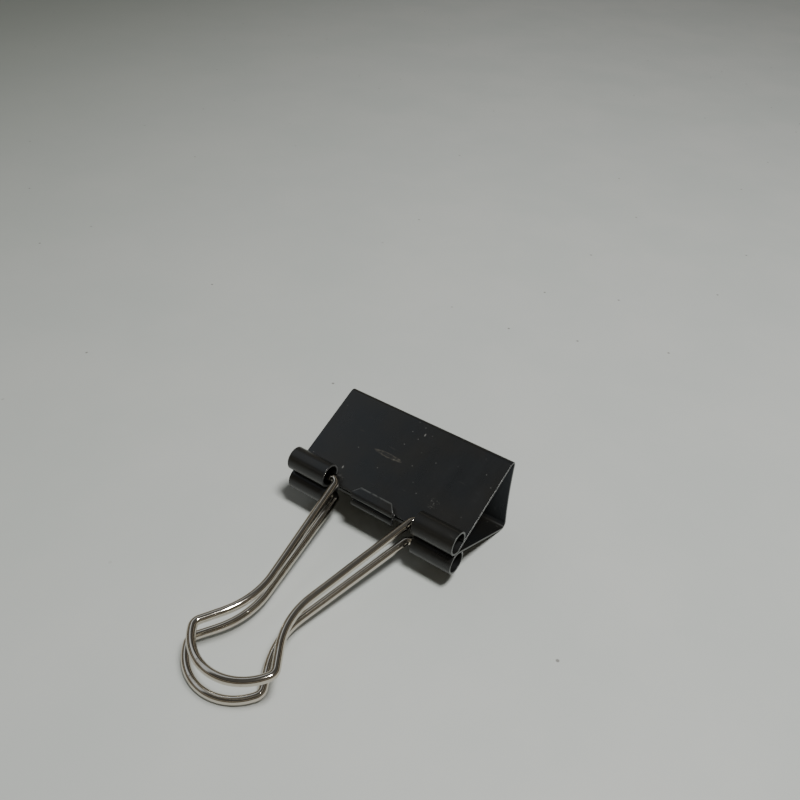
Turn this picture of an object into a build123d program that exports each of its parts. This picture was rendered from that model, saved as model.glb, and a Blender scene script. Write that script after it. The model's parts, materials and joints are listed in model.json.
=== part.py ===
"""Binder clip: a folded spring-steel clamp with two wire handles, lying on one side.

+X runs along the width, -Y points out of the mouth towards the handles' loops, +Z is up.
The origin is the middle of the clip's footprint on the surface it lies on.
The clamp is one folded strip. It is drawn as a spine and two jaws, which meet at the
ends of the two folds, because the strip flexes there when the mouth is opened.
"""

from build123d import *
from build123d.topology import SkipClean
import os
from math import acos, asin, atan2, cos, degrees, hypot, radians, sin, sqrt

# ---- Driving dimensions, millimetres and degrees ----

# folded strip
clip_width = 32.0
clip_height = 14.7
jaw_depth = 16.4  # back of the spine to the middle of the barrels
sheet = 0.35
fold_radius = 1.0  # outside of the bend
spine_dish = 0.35  # the spine's middle is pulled in by this much

# rolled barrels that hold the handles
barrel_diameter = 4.0
barrel_length = 7.4
roll_end_gap = 0.08  # the strip's end stops this far short of the jaw's face
lip_gap = 0.12  # between the closed barrels
face_margin = 0.1  # from a jaw's clear face to the barrels that overhang it

# folded tab between the barrels
tab_width = 8.1
tab_tip_width = 6.0
tab_thickness = 1.5
tab_length = 2.0
lip_overrun = 0.3  # the flat lip beside the tab ends this far past the roll's tangent

# wire handles
wire_diameter = 1.32
leg_clearance = 0.54  # from a leg to its barrel's inner end
neck_spacing = 5.3
neck_reach = 25.0
corner_spacing = 14.4
corner_reach = 32.3
handle_reach = 36.8
foot_radius = 1.3
neck_radius = 12.0
corner_radius = 1.3
stub_clearance = 3.0  # from the stub's tip to the barrel's outer end

# how the handles lie
upper_dip = 3.3
upper_shift = 0.4
upper_yaw = -1.5
lower_shift = 0.0
lower_yaw = 2.4
fold_back_gap = 0.2  # between a folded handle and the outer fold edge

# ---- Derived sizes ----

half_width = clip_width / 2
half_height = clip_height / 2
mid_z = half_height
barrel_radius = barrel_diameter / 2
hollow_radius = barrel_radius - sheet
wire_radius = wire_diameter / 2
barrel_rise = barrel_radius + lip_gap / 2

total_length = jaw_depth + handle_reach * cos(radians(upper_dip)) + wire_radius
back_y = total_length / 2


def section_point(depth, rise):
    """Point of the cross-section, from its depth into the clip and its rise from the middle."""
    return (back_y - depth, mid_z + rise)


# jaw line: tangent to the outside of the fold and to the hollow of the barrel
fold_rise = half_height - fold_radius
run = jaw_depth - fold_radius
drop = fold_rise - barrel_rise
span = hypot(run, drop)
jaw_slope = atan2(drop, run) + asin((fold_radius + hollow_radius) / span)
jaw_length = sqrt(span**2 - (fold_radius + hollow_radius) ** 2)
hinge_depth = fold_radius + fold_radius * sin(jaw_slope)
hinge_rise = fold_rise + fold_radius * cos(jaw_slope)


def jaw_plane(side):
    """Plane of a jaw's section: local x towards the lips, local y out of the jaw.

    Its origin is the hinge line, on the outer surface at the end of the fold.
    """
    hinge_y, hinge_z = section_point(hinge_depth, side * hinge_rise)
    lips = (0, -cos(jaw_slope), -side * sin(jaw_slope))
    return Plane(origin=(0, hinge_y, hinge_z), x_dir=lips, z_dir=(-side, 0, 0))


# ---- Spine, with the fold at each end ----

# the dish is an arc that meets both folds tangentially
dish_radius = (fold_rise**2 + spine_dish**2) / (2 * spine_dish) - fold_radius
dish_depth = spine_dish - dish_radius
dish_angle = asin(fold_rise / (dish_radius + fold_radius))


def spine_line(offset):
    """One surface of the spine and its folds; offset is how deep it lies in the sheet."""
    fold = fold_radius - offset
    dish = dish_radius + offset
    hinge = [
        section_point(fold_radius + fold * sin(jaw_slope), side * (fold_rise + fold * cos(jaw_slope)))
        for side in (1, -1)
    ]
    bend = radians(45) - (jaw_slope + dish_angle) / 2
    crown = [
        section_point(fold_radius - fold * cos(bend), side * (fold_rise + fold * sin(bend)))
        for side in (1, -1)
    ]
    seam = [
        section_point(dish_depth + dish * cos(dish_angle), side * dish * sin(dish_angle))
        for side in (1, -1)
    ]
    middle = section_point(dish_depth + dish, 0)
    ThreePointArc(hinge[0], crown[0], seam[0])
    ThreePointArc(seam[0], middle, seam[1])
    ThreePointArc(seam[1], crown[1], hinge[1])
    return hinge


with BuildPart() as spine:
    with BuildSketch(Plane.YZ):
        with BuildLine():
            outer_ends = spine_line(0)
            inner_ends = spine_line(sheet)
            Line(outer_ends[0], inner_ends[0])
            Line(outer_ends[1], inner_ends[1])
        make_face()
    extrude(amount=half_width, both=True)


# ---- Jaws, each with two rolled barrels and a folded tab ----

roll_end_angle = acos((hollow_radius - roll_end_gap) / barrel_radius)
barrel_start = half_width - barrel_length
clear_length = jaw_length - barrel_radius - face_margin
tab_radius = tab_thickness / 2
tangent_rise = barrel_rise - hollow_radius * cos(jaw_slope)
tab_rise = tangent_rise + (tab_radius - sheet) * cos(jaw_slope)
tab_nose = jaw_length + (tab_rise - tab_radius - lip_gap / 2) / sin(jaw_slope)
tab_edge = tab_nose + tab_radius - tab_length


def make_jaw(side):
    """One jaw; side is 1 for the upper jaw and -1 for the lower.

    Faces in one plane aren't merged, so the clear part of the flat keeps its own outline.
    """
    section = jaw_plane(side)
    with BuildPart() as jaw, SkipClean():
        # flat of the jaw: the clear part, on which something can lie, then the part
        # that the barrels and the tab overhang
        for start, stop in ((0, clear_length), (clear_length, jaw_length)):
            with BuildSketch(section.offset(-half_width)):
                with Locations((start, -sheet)):
                    Rectangle(stop - start, sheet, align=Align.MIN)
            extrude(amount=clip_width)

        # lip between the barrels
        with BuildSketch(section.offset(-barrel_start)):
            with Locations((jaw_length, -sheet)):
                Rectangle(lip_overrun, sheet, align=Align.MIN)
        extrude(amount=2 * barrel_start)

        # barrels: the strip rolled outwards until its end nearly meets the jaw
        for end in (-1, 1):
            with BuildSketch(section.offset(end * barrel_start)):
                with BuildLine():
                    rolled = 360 - degrees(roll_end_angle)
                    outside = CenterArc((jaw_length, hollow_radius), barrel_radius, -90, rolled)
                    inside = CenterArc((jaw_length, hollow_radius), hollow_radius, -90, rolled)
                    Line(outside @ 0, inside @ 0)
                    Line(outside @ 1, inside @ 1)
                make_face()
            extrude(amount=end * barrel_length)

        # tab: folded flat over the jaw, with a round nose at the lips
        with BuildSketch(section.offset(-tab_width / 2)):
            with BuildLine():
                top = tab_thickness - sheet
                nose = (tab_nose, tab_radius - sheet)
                outside = CenterArc(nose, tab_radius, -90, 180)
                inside = CenterArc(nose, tab_radius - sheet, -90, 180)
                Polyline(outside @ 1, (tab_edge, top), (tab_edge, top - sheet), inside @ 1)
                Polyline(outside @ 0, (jaw_length, -sheet), (jaw_length, 0), inside @ 0)
            make_face()
        extrude(amount=tab_width)

        # the tab narrows from its nose to its free edge
        with BuildSketch(tab_plane(side)):
            for end in (-1, 1):
                Polygon(
                    (tab_nose, end * tab_width / 2),
                    (tab_edge, end * tab_tip_width / 2),
                    (tab_edge - sheet, end * tab_tip_width / 2),
                    (tab_edge - sheet, end * (tab_width / 2 + sheet)),
                    (tab_nose, end * (tab_width / 2 + sheet)),
                    align=None,
                )
        extrude(amount=tab_thickness, mode=Mode.SUBTRACT)
    return jaw


def tab_plane(side):
    """Plane just above a jaw's face: local x towards the lips, local y along the width."""
    section = jaw_plane(side)
    above = section.origin + section.y_dir * (tab_radius - sheet)
    return Plane(origin=above, x_dir=section.x_dir, z_dir=section.y_dir)


upper_jaw = make_jaw(1)
lower_jaw = make_jaw(-1)

# ---- Wire handles ----

axis_y, upper_axis_z = section_point(jaw_depth, barrel_rise)
lower_axis_z = mid_z - barrel_rise
# the lower handle's loop rests on the surface that the clip lies on
lower_dip = degrees(asin((lower_axis_z - wire_radius) / handle_reach))

stub_tip = half_width - stub_clearance
leg_start = barrel_start - leg_clearance - wire_radius
corner = Vector(corner_spacing / 2, corner_reach)
neck = Vector(neck_spacing / 2, neck_reach)
flare = (corner - neck).normalized()

# the loop is one arc through both corners and the handle's far end
rise = handle_reach - corner_reach
loop_radius = (rise**2 + corner.X**2) / (2 * rise)
loop_centre = Vector(0, handle_reach - loop_radius)

# each corner is an arc that runs out of the flare and into the loop
inward = Vector(-flare.Y, flare.X) * corner_radius
from_centre = corner + inward - loop_centre
along = flare.dot(from_centre)
reach_in = (loop_radius - corner_radius) ** 2 - from_centre.length**2
setback = along - sqrt(along**2 + reach_in)
corner_centre = corner + inward - flare * setback
corner_crown = corner_centre + (corner - corner_centre).normalized() * corner_radius
flare_end = corner - flare * setback
loop_start = loop_centre + (corner_centre - loop_centre).normalized() * loop_radius


def make_handle(plane):
    """One handle: a round wire from stub to stub, bent in the given plane."""
    with BuildPart() as handle:
        with BuildLine(plane) as centre_line:
            for side in (-1, 1):
                FilletPolyline(
                    (side * stub_tip, 0),
                    (side * leg_start, 0),
                    (side * neck.X, neck.Y),
                    (side * flare_end.X, flare_end.Y),
                    radius=(foot_radius, neck_radius),
                )
                ThreePointArc(
                    (side * flare_end.X, flare_end.Y),
                    (side * corner_crown.X, corner_crown.Y),
                    (side * loop_start.X, loop_start.Y),
                )
            ThreePointArc(
                (-loop_start.X, loop_start.Y),
                (0, handle_reach),
                (loop_start.X, loop_start.Y),
            )
        path = centre_line.wire()
        with BuildSketch(Plane(origin=path @ 0, z_dir=path % 0)):
            Circle(wire_radius)
        sweep(path=path)
    return handle


def handle_plane(axis_z, shift, dip, yaw):
    """Plane of a handle: its origin on the barrels' axis, local y along the handle."""
    across = Vector(1, 0, 0)
    forward = Vector(0, -cos(radians(dip)), -sin(radians(dip)))
    x_dir = across * cos(radians(yaw)) + forward * sin(radians(yaw))
    return Plane(origin=(shift, axis_y, axis_z), x_dir=x_dir, z_dir=across.cross(forward))


upper_handle = make_handle(handle_plane(upper_axis_z, upper_shift, upper_dip, upper_yaw))
lower_handle = make_handle(handle_plane(lower_axis_z, lower_shift, lower_dip, lower_yaw))

# ---- How far each handle folds back, until a wire nearly meets the outer fold ----

fold_centre_distance = hypot(jaw_length, hollow_radius + fold_radius)
toward_fold = atan2(hollow_radius + fold_radius, jaw_length)
past_fold = asin((fold_radius + wire_radius + fold_back_gap) / fold_centre_distance)
fold_back = 180 - degrees(jaw_slope) + degrees(toward_fold - past_fold)
upper_swing = fold_back + upper_dip
lower_swing = fold_back - lower_dip

# ---- Files ----

os.makedirs("parts", exist_ok=True)
pieces = {
    "spine": spine,
    "upper_jaw": upper_jaw,
    "lower_jaw": lower_jaw,
    "upper_handle": upper_handle,
    "lower_handle": lower_handle,
}
for name, piece in pieces.items():
    piece.part.label = name
    export_step(piece.part, f"parts/{name}.step")
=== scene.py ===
"""Binder clip lying on its lower fold: a folded strip of black spring steel and two wire handles."""

import json
from math import acos, asin, atan2, cos, pi, radians, sin, sqrt, tan

import bmesh
import bpy
from mathutils import Matrix, Vector


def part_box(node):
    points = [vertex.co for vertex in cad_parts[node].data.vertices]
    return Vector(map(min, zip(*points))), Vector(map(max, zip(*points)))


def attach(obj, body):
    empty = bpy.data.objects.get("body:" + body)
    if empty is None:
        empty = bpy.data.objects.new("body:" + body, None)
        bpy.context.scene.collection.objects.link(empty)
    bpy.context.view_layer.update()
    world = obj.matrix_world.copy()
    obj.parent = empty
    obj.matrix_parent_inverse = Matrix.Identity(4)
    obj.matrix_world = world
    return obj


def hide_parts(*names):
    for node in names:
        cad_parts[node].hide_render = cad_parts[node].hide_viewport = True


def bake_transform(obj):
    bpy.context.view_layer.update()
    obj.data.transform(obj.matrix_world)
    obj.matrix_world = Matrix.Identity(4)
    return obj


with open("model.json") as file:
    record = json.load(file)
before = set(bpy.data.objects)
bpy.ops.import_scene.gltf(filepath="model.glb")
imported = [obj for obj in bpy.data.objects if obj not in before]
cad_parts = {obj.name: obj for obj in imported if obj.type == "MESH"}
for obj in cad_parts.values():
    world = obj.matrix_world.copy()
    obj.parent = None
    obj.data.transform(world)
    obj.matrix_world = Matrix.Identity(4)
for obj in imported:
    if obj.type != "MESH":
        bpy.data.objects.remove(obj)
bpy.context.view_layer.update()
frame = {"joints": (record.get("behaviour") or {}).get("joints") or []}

# ---- Clamp strip ----
# One strip of spring steel, blanked with a notched lip at both ends, folded twice into a
# triangle, rolled into barrels and hemmed at the lips, hardened, then stove-enamelled black.
# It is built as an upper and a lower half, which meet in the middle of the spine.

MM = 0.001
hinges = {joint["name"]: Vector(joint["pos_m"]) for joint in frame["joints"]}
spine_low, spine_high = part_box("spine")
half_width = spine_high.x
back = spine_high.y
mid_z = (spine_low.z + spine_high.z) / 2

sheet = 0.35 * MM
fold_radius = 1.0 * MM
spine_dish = 0.35 * MM
hollow_radius = 1.65 * MM
barrel_length = 7.4 * MM
roll_end_gap = 0.08 * MM
lip_overrun = 0.3 * MM
tab_width = 8.1 * MM
tab_tip_width = 6.0 * MM
tab_nose_over = 0.33 * MM
tab_fold_radius = 0.4 * MM
tab_back = 1.25 * MM
edge_round = 0.07 * MM
corner_angle = radians(50)

# the section, from the middle of the spine: dish, fold, flat of the jaw, roll
fold_rise = spine_high.z - mid_z - fold_radius
dish_radius = (fold_rise**2 + spine_dish**2) / (2 * spine_dish) - fold_radius
dish_angle = asin(fold_rise / (dish_radius + fold_radius))
dish_centre = Vector((0, back - spine_dish + dish_radius, mid_z))
fold_centre = Vector((0, back - fold_radius, mid_z + fold_rise))
barrel_centre = hinges["upper_handle_swing"]
fold_end = hinges["upper_jaw_open"]
to_barrel = barrel_centre - fold_end
jaw_length = sqrt(to_barrel.length_squared - hollow_radius**2)
jaw_slope = atan2(-to_barrel.z, -to_barrel.y) + atan2(hollow_radius, jaw_length)
to_lips = Vector((0, -cos(jaw_slope), -sin(jaw_slope)))
off_jaw = Vector((0, -sin(jaw_slope), cos(jaw_slope)))
barrel_start = half_width - barrel_length
flat_start = dish_angle * dish_radius + (pi / 2 + jaw_slope + dish_angle) * fold_radius
tab_fold_end = flat_start + jaw_length + tab_nose_over + pi * tab_fold_radius


class Strip:
    """The sheet's outer face as it is folded up, row by row, from the middle of the spine."""

    def __init__(self, side):
        self.mesh = bmesh.new()
        self.place = self.mesh.verts.layers.float_vector.new("strip_place")
        self.side = side
        tab_side = tab_width / 2
        right = [tab_side / 3, tab_side * 2 / 3, tab_side, (tab_side + barrel_start) / 2,
                 barrel_start, barrel_start + barrel_length / 2, half_width]
        stations = [-x for x in reversed(right)] + [0.0] + right
        row = [self.mesh.verts.new((x, back - spine_dish, mid_z)) for x in stations]
        for vert in row:
            vert[self.place] = (vert.co.x, 0, 0)
        self.edges = [self.mesh.edges.new(pair) for pair in zip(row, row[1:])]

    def settle(self, made, run):
        """Marks a new row with its place on the flat blank and returns its edges."""
        for vert in (v for v in made if isinstance(v, bmesh.types.BMVert)):
            vert[self.place] = (vert.co.x, self.side * run, 0)
        return [edge for edge in made if isinstance(edge, bmesh.types.BMEdge)]

    def roll(self, edges, centre, angle, radius, run, steps):
        """Rolls the strip's free edge round a bar; a positive angle turns +Y towards +Z."""
        for _ in range(steps):
            made = bmesh.ops.spin(self.mesh, geom=edges, cent=centre, axis=(1, 0, 0),
                                  angle=angle / steps, steps=1)["geom_last"]
            run += abs(angle) / steps * radius
            edges = self.settle(made, run)
        return edges, run

    def push(self, edges, direction, length, run, steps=1, narrow=1.0):
        """Lets the strip run on straight; narrow is how much its far end keeps of its width."""
        for _ in range(steps):
            made = bmesh.ops.extrude_edge_only(self.mesh, edges=edges)["geom"]
            verts = [v for v in made if isinstance(v, bmesh.types.BMVert)]
            bmesh.ops.translate(self.mesh, vec=direction * length / steps, verts=verts)
            bmesh.ops.scale(self.mesh, vec=(narrow, 1, 1), verts=verts)
            run += length / steps
            edges = self.settle(verts + far_edges(made), run)
        return edges, run


def far_edges(made):
    """The edges at the far end of what an extrusion made."""
    fresh = {v for v in made if isinstance(v, bmesh.types.BMVert)}
    return [e for e in made if isinstance(e, bmesh.types.BMEdge) and set(e.verts) <= fresh]


def between(edges, low, high):
    """The edges that lie between two distances from the middle of the width."""
    return [e for e in edges if low < abs(e.verts[0].co.x + e.verts[1].co.x) / 2 < high]


def fold_up(side):
    """Half the strip's outer face; side is 1 for the upper half and -1 for the lower."""
    strip = Strip(side)
    fold_angle = pi / 2 + jaw_slope + dish_angle
    edges, run = strip.roll(strip.edges, dish_centre, -dish_angle, dish_radius, 0.0, steps=10)
    edges, run = strip.roll(edges, fold_centre, fold_angle, fold_radius, run, steps=14)
    edges, run = strip.push(edges, to_lips, jaw_length, run, steps=16)

    # the barrels, rolled outwards until the end nearly meets the jaw
    full_roll = 2 * pi - acos((hollow_radius - roll_end_gap) / (hollow_radius + sheet))
    strip.roll(between(edges, barrel_start, half_width), barrel_centre, -full_roll,
               hollow_radius, run, steps=56)
    # the lip, cut short beside the tab
    strip.push(between(edges, tab_width / 2, barrel_start), to_lips, lip_overrun, run)
    # the tab, hemmed over on to the jaw, with its corners clipped
    tab, run = strip.push(between(edges, 0, tab_width / 2), to_lips, tab_nose_over, run)
    nose = fold_end + to_lips * (jaw_length + tab_nose_over) + off_jaw * tab_fold_radius
    tab, run = strip.roll(tab, nose, -pi, tab_fold_radius, run, steps=14)
    steps = 3
    strip.push(tab, -to_lips, tab_back, run, steps, narrow=(tab_tip_width / tab_width) ** (1 / steps))

    # the lower half is the upper one mirrored
    if side < 0:
        bmesh.ops.scale(strip.mesh, vec=(1, 1, -1), verts=strip.mesh.verts,
                        space=Matrix.Translation((0, 0, -mid_z)))
    return strip.mesh


def new_piece(name, mesh):
    """Makes a finished mesh into an object in the scene."""
    data = bpy.data.meshes.new(name)
    mesh.to_mesh(data)
    mesh.free()
    piece = bpy.data.objects.new(name, data)
    bpy.context.scene.collection.objects.link(piece)
    return piece


def thicken(name, mesh):
    """Gives the outer face the sheet's thickness, inwards, and softens its cut edges."""
    bmesh.ops.recalc_face_normals(mesh, faces=mesh.faces)
    seam = next(v for v in mesh.verts if abs(v.co.z - mid_z) < sheet / 100)
    if seam.link_faces[0].normal.y < 0:
        bmesh.ops.reverse_faces(mesh, faces=mesh.faces)
    piece = new_piece(name, mesh)
    # for now the cut edges and the inner face are told apart by their material's number
    edge_number = 1
    inner_number = 2
    for _ in range(3):
        piece.data.materials.append(None)
    wall = piece.modifiers.new("wall", "SOLIDIFY")
    wall.thickness = sheet
    wall.offset = -1
    wall.use_even_offset = True
    wall.material_offset_rim = edge_number
    wall.material_offset = inner_number
    bpy.context.view_layer.update()
    thick = piece.evaluated_get(bpy.context.evaluated_depsgraph_get())
    solid = bpy.data.meshes.new_from_object(thick)
    piece.modifiers.clear()
    piece.data = solid

    shell = bmesh.new()
    shell.from_mesh(solid)
    cut = shell.faces.layers.float.new("cut_edge")
    inside = shell.faces.layers.float.new("inner_face")
    for face in shell.faces:
        face[cut] = float(face.material_index == edge_number)
        face[inside] = float(face.material_index == inner_number)
        face.material_index = 0
        face.smooth = True
    corners = [
        edge for edge in shell.edges
        if edge.is_manifold and edge.calc_face_angle() > corner_angle
        and any(abs(v.co.z - mid_z) > sheet / 2 for v in edge.verts)
    ]
    bmesh.ops.bevel(shell, geom=corners, offset=edge_round, offset_type="OFFSET", segments=3,
                    profile=0.5, affect="EDGES", material=-1, clamp_overlap=True)
    # the rim where the halves meet keeps its corners, so that no line shows across the spine
    for edge in shell.edges:
        if all(abs(v.co.z - mid_z) < sheet / 2 for v in edge.verts):
            edge.smooth = not (edge.is_manifold and edge.calc_face_angle() > corner_angle)
    shell.to_mesh(solid)
    shell.free()
    solid.materials.clear()
    tidy = piece.modifiers.new("flat faces stay flat", "WEIGHTED_NORMAL")
    tidy.keep_sharp = True
    return piece


class Tone:
    """A socket in a finish's nodes. Sums and products of tones add Math nodes."""

    def __init__(self, tree, socket=None):
        self.tree = tree
        self.socket = socket

    def node(self, kind, settings, sockets, output=0):
        """Adds any node: its settings first, then the values or tones of its sockets."""
        made = self.tree.nodes.new(kind)
        for key, value in settings.items():
            setattr(made, key, value)
        for key, value in sockets.items():
            if isinstance(value, Tone):
                self.tree.links.new(value.socket, made.inputs[key])
            else:
                made.inputs[key].default_value = value
        return Tone(self.tree, made.outputs[output] if made.outputs else None)

    def math(self, operation, first, second=0.0):
        return self.node("ShaderNodeMath", {"operation": operation}, {0: first, 1: second})

    def __add__(self, other):
        return self.math("ADD", self, other)

    __radd__ = __add__

    def __mul__(self, other):
        return self.math("MULTIPLY", self, other)

    __rmul__ = __mul__

    def __sub__(self, other):
        return self.math("SUBTRACT", self, other)

    def __rsub__(self, other):
        return self.math("SUBTRACT", other, self)

    def __truediv__(self, other):
        return self.math("DIVIDE", self, other)

    def above(self, start, full):
        """0 below start and 1 past full, with a smooth rise between; full may be the lower."""
        return self.node("ShaderNodeMapRange", {"interpolation_type": "SMOOTHSTEP"},
                         {"Value": self, "From Min": start, "From Max": full})

    def colours(self, low, high):
        """The colour low where this tone is 0, and high where it is 1."""
        return self.node("ShaderNodeMix", {"data_type": "RGBA"}, {0: self, 6: low, 7: high}, 2)

    def stretched(self, scale):
        """This place, scaled by a different amount each way."""
        return self.node("ShaderNodeVectorMath", {"operation": "MULTIPLY"}, {0: self, 1: scale})

    def noise(self, scale, detail=2.0, roughness=0.5):
        """Cloudy noise over this place."""
        return self.node("ShaderNodeTexNoise", {},
                         {"Vector": self, "Scale": scale, "Detail": detail, "Roughness": roughness})

    def specks(self, scale, share, size, space="2D"):
        """Small round spots in a share of a random grid's cells; a sheet's place is 2D."""
        grid = {"voronoi_dimensions": space}
        cells = {"Vector": self, "Scale": scale}
        near = self.node("ShaderNodeTexVoronoi", grid, cells, "Distance").above(size, size / 2)
        pick = self.node("ShaderNodeTexVoronoi", grid, cells, "Color")
        pick = self.node("ShaderNodeSeparateColor", {}, {"Color": pick})
        return near * pick.above(share, share / 2)


def new_finish(name):
    """A material with an empty node tree, and the tone that its nodes start from."""
    material = bpy.data.materials.new(name)
    material.use_nodes = True
    material.node_tree.nodes.clear()
    return material, Tone(material.node_tree)


def shade(start, sockets):
    """Ends a finish in a Principled shader with those sockets."""
    surface = start.node("ShaderNodeBsdfPrincipled", {}, sockets)
    start.node("ShaderNodeOutputMaterial", {}, {"Surface": surface})


scuff_along = 4.6 * MM
scuff_across = 0.75 * MM
scuff_centre = (-2.9 * MM, flat_start + jaw_length - 8.1 * MM)
smudge_radius = 1.3 * MM
smudge_centre = (8.4 * MM, flat_start + jaw_length - 4.3 * MM)


def black_enamel():
    """Stove enamel: near black and half glossy, with dust, faint rubs, bare cut edges and a painted
    highlight along the tab's crest and free edges.
    """
    material, start = new_finish("black_enamel")
    place = start.node("ShaderNodeAttribute", {"attribute_name": "strip_place"}, {}, "Vector")
    across = start.node("ShaderNodeSeparateXYZ", {}, {"Vector": place}, "X")
    along = start.node("ShaderNodeSeparateXYZ", {}, {"Vector": place}, "Y")
    cut = start.node("ShaderNodeAttribute", {"attribute_name": "cut_edge"}, {}, "Fac")
    inside = start.node("ShaderNodeAttribute", {"attribute_name": "inner_face"}, {}, "Fac")
    from_middle = start.math("ABSOLUTE", along)
    spine_inside = inside * from_middle.above(flat_start - 1.0 * MM, flat_start - 3.0 * MM)
    from_centre = start.math("ABSOLUTE", across)

    clouds = place.noise(110, detail=3)
    smears = place.stretched((1, 0.35, 1)).noise(300, detail=4, roughness=0.6)
    grain = place.noise(3200, detail=2)
    dust = place.specks(600, 0.16, 0.08)
    lint = place.stretched((1, 0.5, 1)).specks(230, 0.25, 0.04)
    rubs = place.stretched((1, 9, 1)).noise(240, detail=3).above(0.66, 0.78)

    # one long, narrow rub on the upper jaw, seen mostly as its outline
    run_off = (across - scuff_centre[0]) / (scuff_along / 2)
    cross_off = (along - scuff_centre[1]) / (scuff_across / 2)
    ring = start.math("SQRT", run_off * run_off + cross_off * cross_off)
    ring = ring + place.noise(1100, detail=3) * 0.7 - 0.35
    scuff = ring.above(1.25, 1.0) * (ring.above(0.55, 0.95) * 0.8 + 0.2)
    scuff = scuff * place.noise(1500, detail=2).above(0.25, 0.55)

    # a dusty smudge behind one barrel
    smudge_across = (across - smudge_centre[0]) / smudge_radius
    smudge_along = (along - smudge_centre[1]) / smudge_radius
    smudge = (smudge_across * smudge_across + smudge_along * smudge_along).above(1.0, 0.1)
    smudge = smudge * place.noise(3600, detail=3).above(0.56, 0.66)

    # painted highlight: the tab's crest and free edges are painted lighter, standing in for the light
    # that their rounded edges catch
    up_tab = (along - tab_fold_end) / tab_back
    side_slope = (tab_width - tab_tip_width) / (2 * MM)
    from_side = (tab_width / 2 - from_centre) / MM - up_tab * side_slope
    edge = start.math("MAXIMUM", from_side.above(0.30, 0.12), up_tab.above(0.72, 0.86))
    edge = edge * up_tab.above(-0.1, 0.1)
    crest = up_tab.above(-0.62, -0.5) * up_tab.above(-0.32, -0.44) * from_side.above(-0.1, 0.0)
    tab_edge_painted_highlight = start.math("MAXIMUM", edge, crest * 0.7) * from_side.above(-0.4, -0.2)
    tab_edge_painted_highlight = tab_edge_painted_highlight * place.noise(1000, detail=2).above(0.25, 0.55)

    bluish = (0.0070, 0.0080, 0.0090, 1)
    brownish = (0.0095, 0.0092, 0.0082, 1)
    paint = clouds.above(0.35, 0.65).colours(bluish, brownish)
    # the inside of the spine is given a lighter, greyer colour than the outside
    paint = spine_inside.colours(paint, (0.050, 0.055, 0.060, 1))
    paint = (rubs * 0.5).colours(paint, (0.024, 0.023, 0.020, 1))
    paint = (scuff * 0.6).colours(paint, (0.062, 0.056, 0.044, 1))
    paint = (smudge * 0.7).colours(paint, (0.085, 0.085, 0.080, 1))
    # painted highlight along the tab's crest and free edges
    paint = (tab_edge_painted_highlight * 0.8).colours(paint, (0.060, 0.063, 0.062, 1))
    speck = start.math("MAXIMUM", dust * 0.5, lint)
    paint = (speck * 0.6).colours(paint, (0.20, 0.20, 0.19, 1))
    # the cut edges, bare mostly along the strip's two sides
    at_sides = from_centre.above(half_width - 0.9 * MM, half_width - 0.3 * MM)
    bare = cut * place.noise(700, detail=3).above(0.22, 0.42) * (at_sides * 0.7 + 0.3)
    colour = bare.colours(paint, (0.14, 0.145, 0.145, 1))

    roughness = 0.22 + smears * 0.14 + rubs * 0.10 + scuff * 0.15 + bare * 0.10
    skin = start.node("ShaderNodeBump", {},
                      {"Strength": 0.25, "Distance": 0.02 * MM, "Height": grain + clouds * 0.8})
    shade(start, {"Base Color": colour, "Roughness": roughness, "Metallic": bare * 0.7,
                  "Normal": skin, "IOR": 1.5})
    return material


enamel = black_enamel()

halves = {"upper_jaw": ("clamp_upper_half", 1), "lower_jaw": ("clamp_lower_half", -1)}

for body, (name, side) in halves.items():
    half = thicken(name, fold_up(side))
    half.data.materials.append(enamel)
    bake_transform(half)
    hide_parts("spine", body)

# ---- Wire handles ----
# Drawn steel wire, bent cold on a former and nickel plated: two stubs that lie in the
# barrels, two legs that draw in to a neck, and a round loop to press on.

wire_radius = 0.66 * MM
leg_clearance = 0.54 * MM
stub_clearance = 3.0 * MM
stub_tip = half_width - stub_clearance
leg_start = barrel_start - leg_clearance - wire_radius
neck_spacing = 5.3 * MM
neck_reach = 25.0 * MM
neck = Vector((neck_spacing / 2, neck_reach))
corner_spacing = 14.4 * MM
corner_reach = 32.3 * MM
corner = Vector((corner_spacing / 2, corner_reach))
handle_reach = 36.8 * MM
foot_radius = 1.3 * MM
neck_radius = 12.0 * MM
corner_radius = 1.3 * MM
wire_sides = 32
feed_step = 2 * MM
bend_step = radians(4)
end_chamfer = 0.15 * MM


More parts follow.
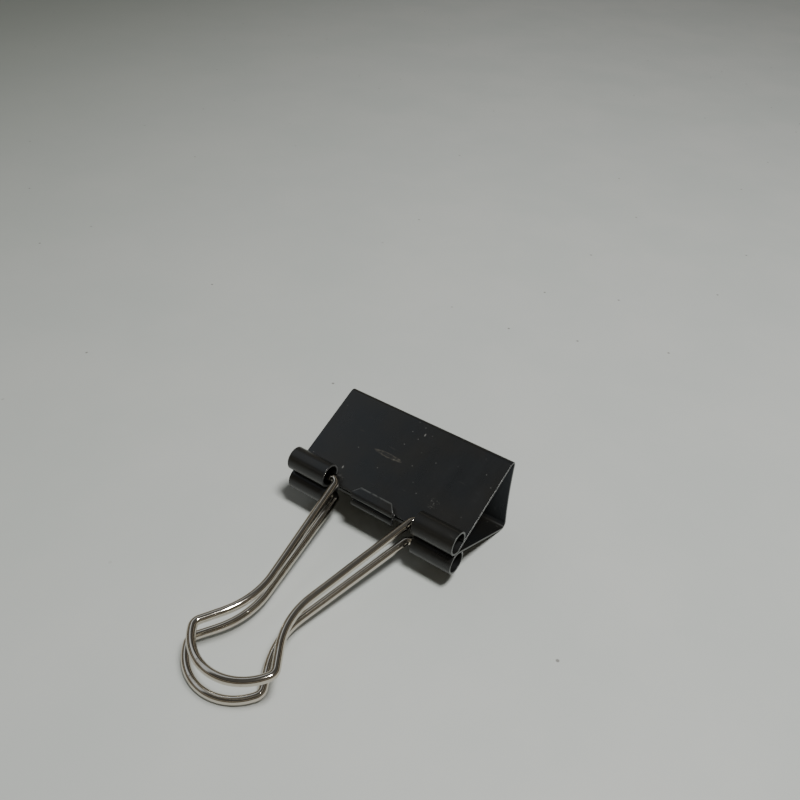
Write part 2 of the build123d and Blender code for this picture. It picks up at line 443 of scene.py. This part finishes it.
class Wire:
    """A round wire on the bending bench: it is fed straight, or bent round a former.

    The bench is the XY plane. The wire's working end has a place and a heading.
    """

    def __init__(self, start, heading):
        self.mesh = bmesh.new()
        self.place = self.mesh.verts.layers.float_vector.new("wire_place")
        self.at = Vector((start[0], start[1], 0))
        self.heading = heading
        self.fed = 0.0
        turn = Matrix.Rotation(heading, 4, "Z") @ Matrix.Rotation(pi / 2, 4, "Y")
        ring = bmesh.ops.create_circle(self.mesh, segments=wire_sides, radius=wire_radius,
                                       matrix=Matrix.Translation(self.at) @ turn)["verts"]
        self.edges = list(self.mesh.edges)
        self.mark(ring)

    def mark(self, ring):
        """Marks a ring with its place on the straight wire: round it, and along it."""
        left = Vector((-sin(self.heading), cos(self.heading), 0))
        for vert in ring:
            out = vert.co - self.at
            vert[self.place] = (out.dot(left), out.z, self.fed)

    def feed(self, length):
        """Feeds the wire straight on."""
        steps = max(1, round(length / feed_step))
        ahead = Vector((cos(self.heading), sin(self.heading), 0)) * length / steps
        for _ in range(steps):
            made = bmesh.ops.extrude_edge_only(self.mesh, edges=self.edges)["geom"]
            ring = [v for v in made if isinstance(v, bmesh.types.BMVert)]
            bmesh.ops.translate(self.mesh, vec=ahead, verts=ring)
            self.edges = far_edges(made)
            self.at = self.at + ahead
            self.fed += ahead.length
            self.mark(ring)

    def bend(self, angle, radius):
        """Bends the wire round a former; a positive angle turns it to the left."""
        steps = max(3, round(abs(angle) / bend_step))
        step = angle / steps
        for _ in range(steps):
            left = Vector((-sin(self.heading), cos(self.heading), 0))
            centre = self.at + left * radius * (1 if angle > 0 else -1)
            made = bmesh.ops.spin(self.mesh, geom=self.edges, cent=centre, axis=(0, 0, 1),
                                  angle=step, steps=1)["geom_last"]
            self.at = centre + Matrix.Rotation(step, 3, "Z") @ (self.at - centre)
            self.heading += step
            self.fed += abs(step) * radius
            self.edges = [e for e in made if isinstance(e, bmesh.types.BMEdge)]
            self.mark([v for v in made if isinstance(v, bmesh.types.BMVert)])

    def crop(self):
        """Closes both cut ends and breaks their sharp rims."""
        rims = [edge for edge in self.mesh.edges if edge.is_boundary]
        bmesh.ops.holes_fill(self.mesh, edges=rims, sides=wire_sides)
        bmesh.ops.bevel(self.mesh, geom=rims, offset=end_chamfer, offset_type="OFFSET", segments=3,
                        profile=0.5, affect="EDGES", material=-1, clamp_overlap=True)
        bmesh.ops.recalc_face_normals(self.mesh, faces=self.mesh.faces)
        for face in self.mesh.faces:
            face.smooth = True
        return self.mesh


def bend_handle():
    """One handle on the bench: stub, leg, neck, flare, loop, and the same again mirrored."""
    leg = neck - Vector((leg_start, 0))
    flare = (corner - neck).normalized()
    leg_heading = atan2(leg.y, -leg.x)
    flare_heading = atan2(flare.y, -flare.x)

    # the loop is one arc through both corners and the handle's far end
    rise = handle_reach - corner.y
    loop_radius = (rise**2 + corner.x**2) / (2 * rise)
    loop_centre = Vector((0, handle_reach - loop_radius))
    # each corner is an arc that runs out of the flare and into the loop
    inward = Vector((-flare.y, flare.x)) * corner_radius
    from_centre = corner + inward - loop_centre
    along = flare.dot(from_centre)
    reach_in = (loop_radius - corner_radius) ** 2 - from_centre.length_squared
    setback = along - sqrt(along**2 + reach_in)
    corner_centre = corner + inward - flare * setback
    loop_half = atan2(corner_centre.x - loop_centre.x, corner_centre.y - loop_centre.y)
    corner_turn = flare_heading - loop_half

    foot_cut = foot_radius * tan(leg_heading / 2)
    neck_cut = neck_radius * tan((flare_heading - leg_heading) / 2)
    stub = stub_tip - leg_start - foot_cut
    shank = leg.length - foot_cut - neck_cut
    flank = (corner - neck).length - setback - neck_cut

    wire = Wire((-stub_tip, 0), 0.0)
    wire.feed(stub)
    wire.bend(leg_heading, foot_radius)
    wire.feed(shank)
    wire.bend(flare_heading - leg_heading, neck_radius)
    wire.feed(flank)
    wire.bend(-corner_turn, corner_radius)
    wire.bend(-2 * loop_half, loop_radius)
    wire.bend(-corner_turn, corner_radius)
    wire.feed(flank)
    wire.bend(flare_heading - leg_heading, neck_radius)
    wire.feed(shank)
    wire.bend(leg_heading, foot_radius)
    wire.feed(stub)
    return wire.crop()


def nickel_plate():
    """Nickel on drawn wire: bright and slightly warm, with draw lines, pits and some tarnish."""
    material, start = new_finish("nickel_plate")
    place = start.node("ShaderNodeAttribute", {"attribute_name": "wire_place"}, {}, "Vector")
    lines = place.stretched((1, 1, 0.02)).noise(5200, detail=3, roughness=0.6)
    patches = place.noise(260, detail=4, roughness=0.6)
    pits = place.specks(900, 0.12, 0.16, space="3D")
    tarnish = patches.above(0.52, 0.75)
    colour = tarnish.colours((0.62, 0.575, 0.505, 1), (0.44, 0.37, 0.28, 1))
    colour = (pits * 0.8).colours(colour, (0.12, 0.09, 0.06, 1))
    roughness = 0.06 + tarnish * 0.12 + lines * 0.06 + pits * 0.3
    relief = lines - pits * 1.5 + patches
    skin = start.node("ShaderNodeBump", {},
                      {"Strength": 0.3, "Distance": 0.006 * MM, "Height": relief})
    shade(start, {"Base Color": colour, "Roughness": roughness, "Metallic": 1.0, "Normal": skin})
    return material


nickel = nickel_plate()

# a handle comes off the bench pointing back and is turned over to point forwards
turned_over = Matrix(((1, 0, 0), (0, -1, 0), (0, 0, -1))).to_4x4()
# how far each handle dips below level, and how it sits a little askew in its barrels
upper_dip = radians(3.3)
upper_shift = 0.4 * MM
upper_yaw = radians(-1.5)
lower_dip = asin((hinges["lower_handle_swing"].z - wire_radius) / handle_reach)
lower_shift = 0.0
lower_yaw = radians(2.4)
lies = {
    "upper_handle": (hinges["upper_handle_swing"], upper_shift, upper_dip, upper_yaw),
    "lower_handle": (hinges["lower_handle_swing"], lower_shift, lower_dip, lower_yaw),
}

for body, (pivot, shift, dip, yaw) in lies.items():
    mesh = bend_handle()
    lie = (Matrix.Translation((shift, pivot.y, pivot.z)) @ Matrix.Rotation(dip, 4, "X")
           @ turned_over @ Matrix.Rotation(yaw, 4, "Z"))
    bmesh.ops.transform(mesh, matrix=lie, verts=mesh.verts)
    handle = new_piece(body + "_wire", mesh)
    handle.data.materials.append(nickel)
    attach(handle, body)
    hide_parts(body)

# ---- Table, light and camera ----
# A pale grey board with a little grit on it, under one compact soft lamp high on the right.
# The room round it is dark, with pale bands and one window for the wire to mirror.

floor_half = 1.5
floor_mesh = bmesh.new()
bmesh.ops.create_grid(floor_mesh, x_segments=1, y_segments=1, size=floor_half)
floor = new_piece("floor", floor_mesh)

board, start = new_finish("pale_board")
place = start.node("ShaderNodeTexCoord", {}, {}, "Object")
mottle = place.noise(28, detail=4, roughness=0.6)
fibre = place.noise(900, detail=2)
grit = place.specks(60, 0.25, 0.022)
# painted shade: the board is painted darker away to the camera's left, standing in for the lamp's
# light falling off
to_right = start.node("ShaderNodeVectorMath", {"operation": "DOT_PRODUCT"},
                      {0: place, 1: (0.9, 0.45, 0.0)}, "Value")
colour = mottle.above(0.3, 0.7).colours((0.515, 0.545, 0.530, 1), (0.55, 0.57, 0.555, 1))
# painted shade, darker towards the camera's left
colour = to_right.above(0.05, -0.30).colours(colour, (0.30, 0.325, 0.30, 1))
colour = (grit * 0.7).colours(colour, (0.12, 0.11, 0.10, 1))
skin = start.node("ShaderNodeBump", {}, {"Strength": 0.1, "Distance": 0.05 * MM, "Height": fibre})
shade(start, {"Base Color": colour, "Roughness": 0.75, "Normal": skin})
floor.data.materials.append(board)

world = bpy.data.worlds.new("room")
bpy.context.scene.world = world
world.use_nodes = True
world.node_tree.nodes.clear()
start = Tone(world.node_tree)
toward = start.node("ShaderNodeTexCoord", {}, {}, "Generated")
aside = start.node("ShaderNodeSeparateXYZ", {}, {"Vector": toward}, "X")
height = start.node("ShaderNodeSeparateXYZ", {}, {"Vector": toward}, "Z")
band_pitch = 17.0
bands = start.math("SINE", height * band_pitch).above(0.0, 0.5)
room = bands.colours((0.010, 0.008, 0.006, 1), (0.36, 0.33, 0.27, 1))
# overhead the bands give way to an even grey
room = height.above(0.62, 0.82).colours(room, (0.085, 0.084, 0.080, 1))
window = aside.above(-0.40, -0.48) * aside.above(-0.75, -0.65) * height.above(0.6, 0.75)
room = window.colours(room, (0.62, 0.67, 0.72, 1))
background = start.node("ShaderNodeBackground", {}, {"Color": room, "Strength": 1.0})
start.node("ShaderNodeOutputWorld", {}, {"Surface": background})

lamp_place = Vector((0.19, -0.045, 0.53))
light = bpy.data.lights.new("lamp", "AREA")
light.shape = "SQUARE"
light.size = 0.10
light.energy = 3.5
light.color = (1.0, 0.99, 0.96)
lamp = bpy.data.objects.new("lamp", light)
lamp_turn = (-lamp_place).to_track_quat("-Z", "Y").to_matrix().to_4x4()
lamp.matrix_world = Matrix.Translation(lamp_place) @ lamp_turn
bpy.context.scene.collection.objects.link(lamp)

# the camera stands in front of the clip, to the right, and looks down at a point behind it
camera_data = bpy.data.cameras.new("camera")
camera_data.sensor_width = 36.0
camera_data.lens = 36.9
camera_data.clip_start = 0.001
camera = bpy.data.objects.new("camera", camera_data)
target = Vector((-18.54 * MM, back + 17.91 * MM, 0))
camera_turn = radians(33.64)
camera_height = radians(36.76)
camera_roll = radians(2.79)
camera_distance = 166.0 * MM
camera.matrix_world = (
    Matrix.Translation(target)
    @ Matrix.Rotation(camera_turn, 4, "Z")
    @ Matrix.Rotation(pi / 2 - camera_height, 4, "X")
    @ Matrix.Translation((0, 0, camera_distance))
    @ Matrix.Rotation(camera_roll, 4, "Z")
)
bpy.context.scene.collection.objects.link(camera)
bpy.context.scene.camera = camera
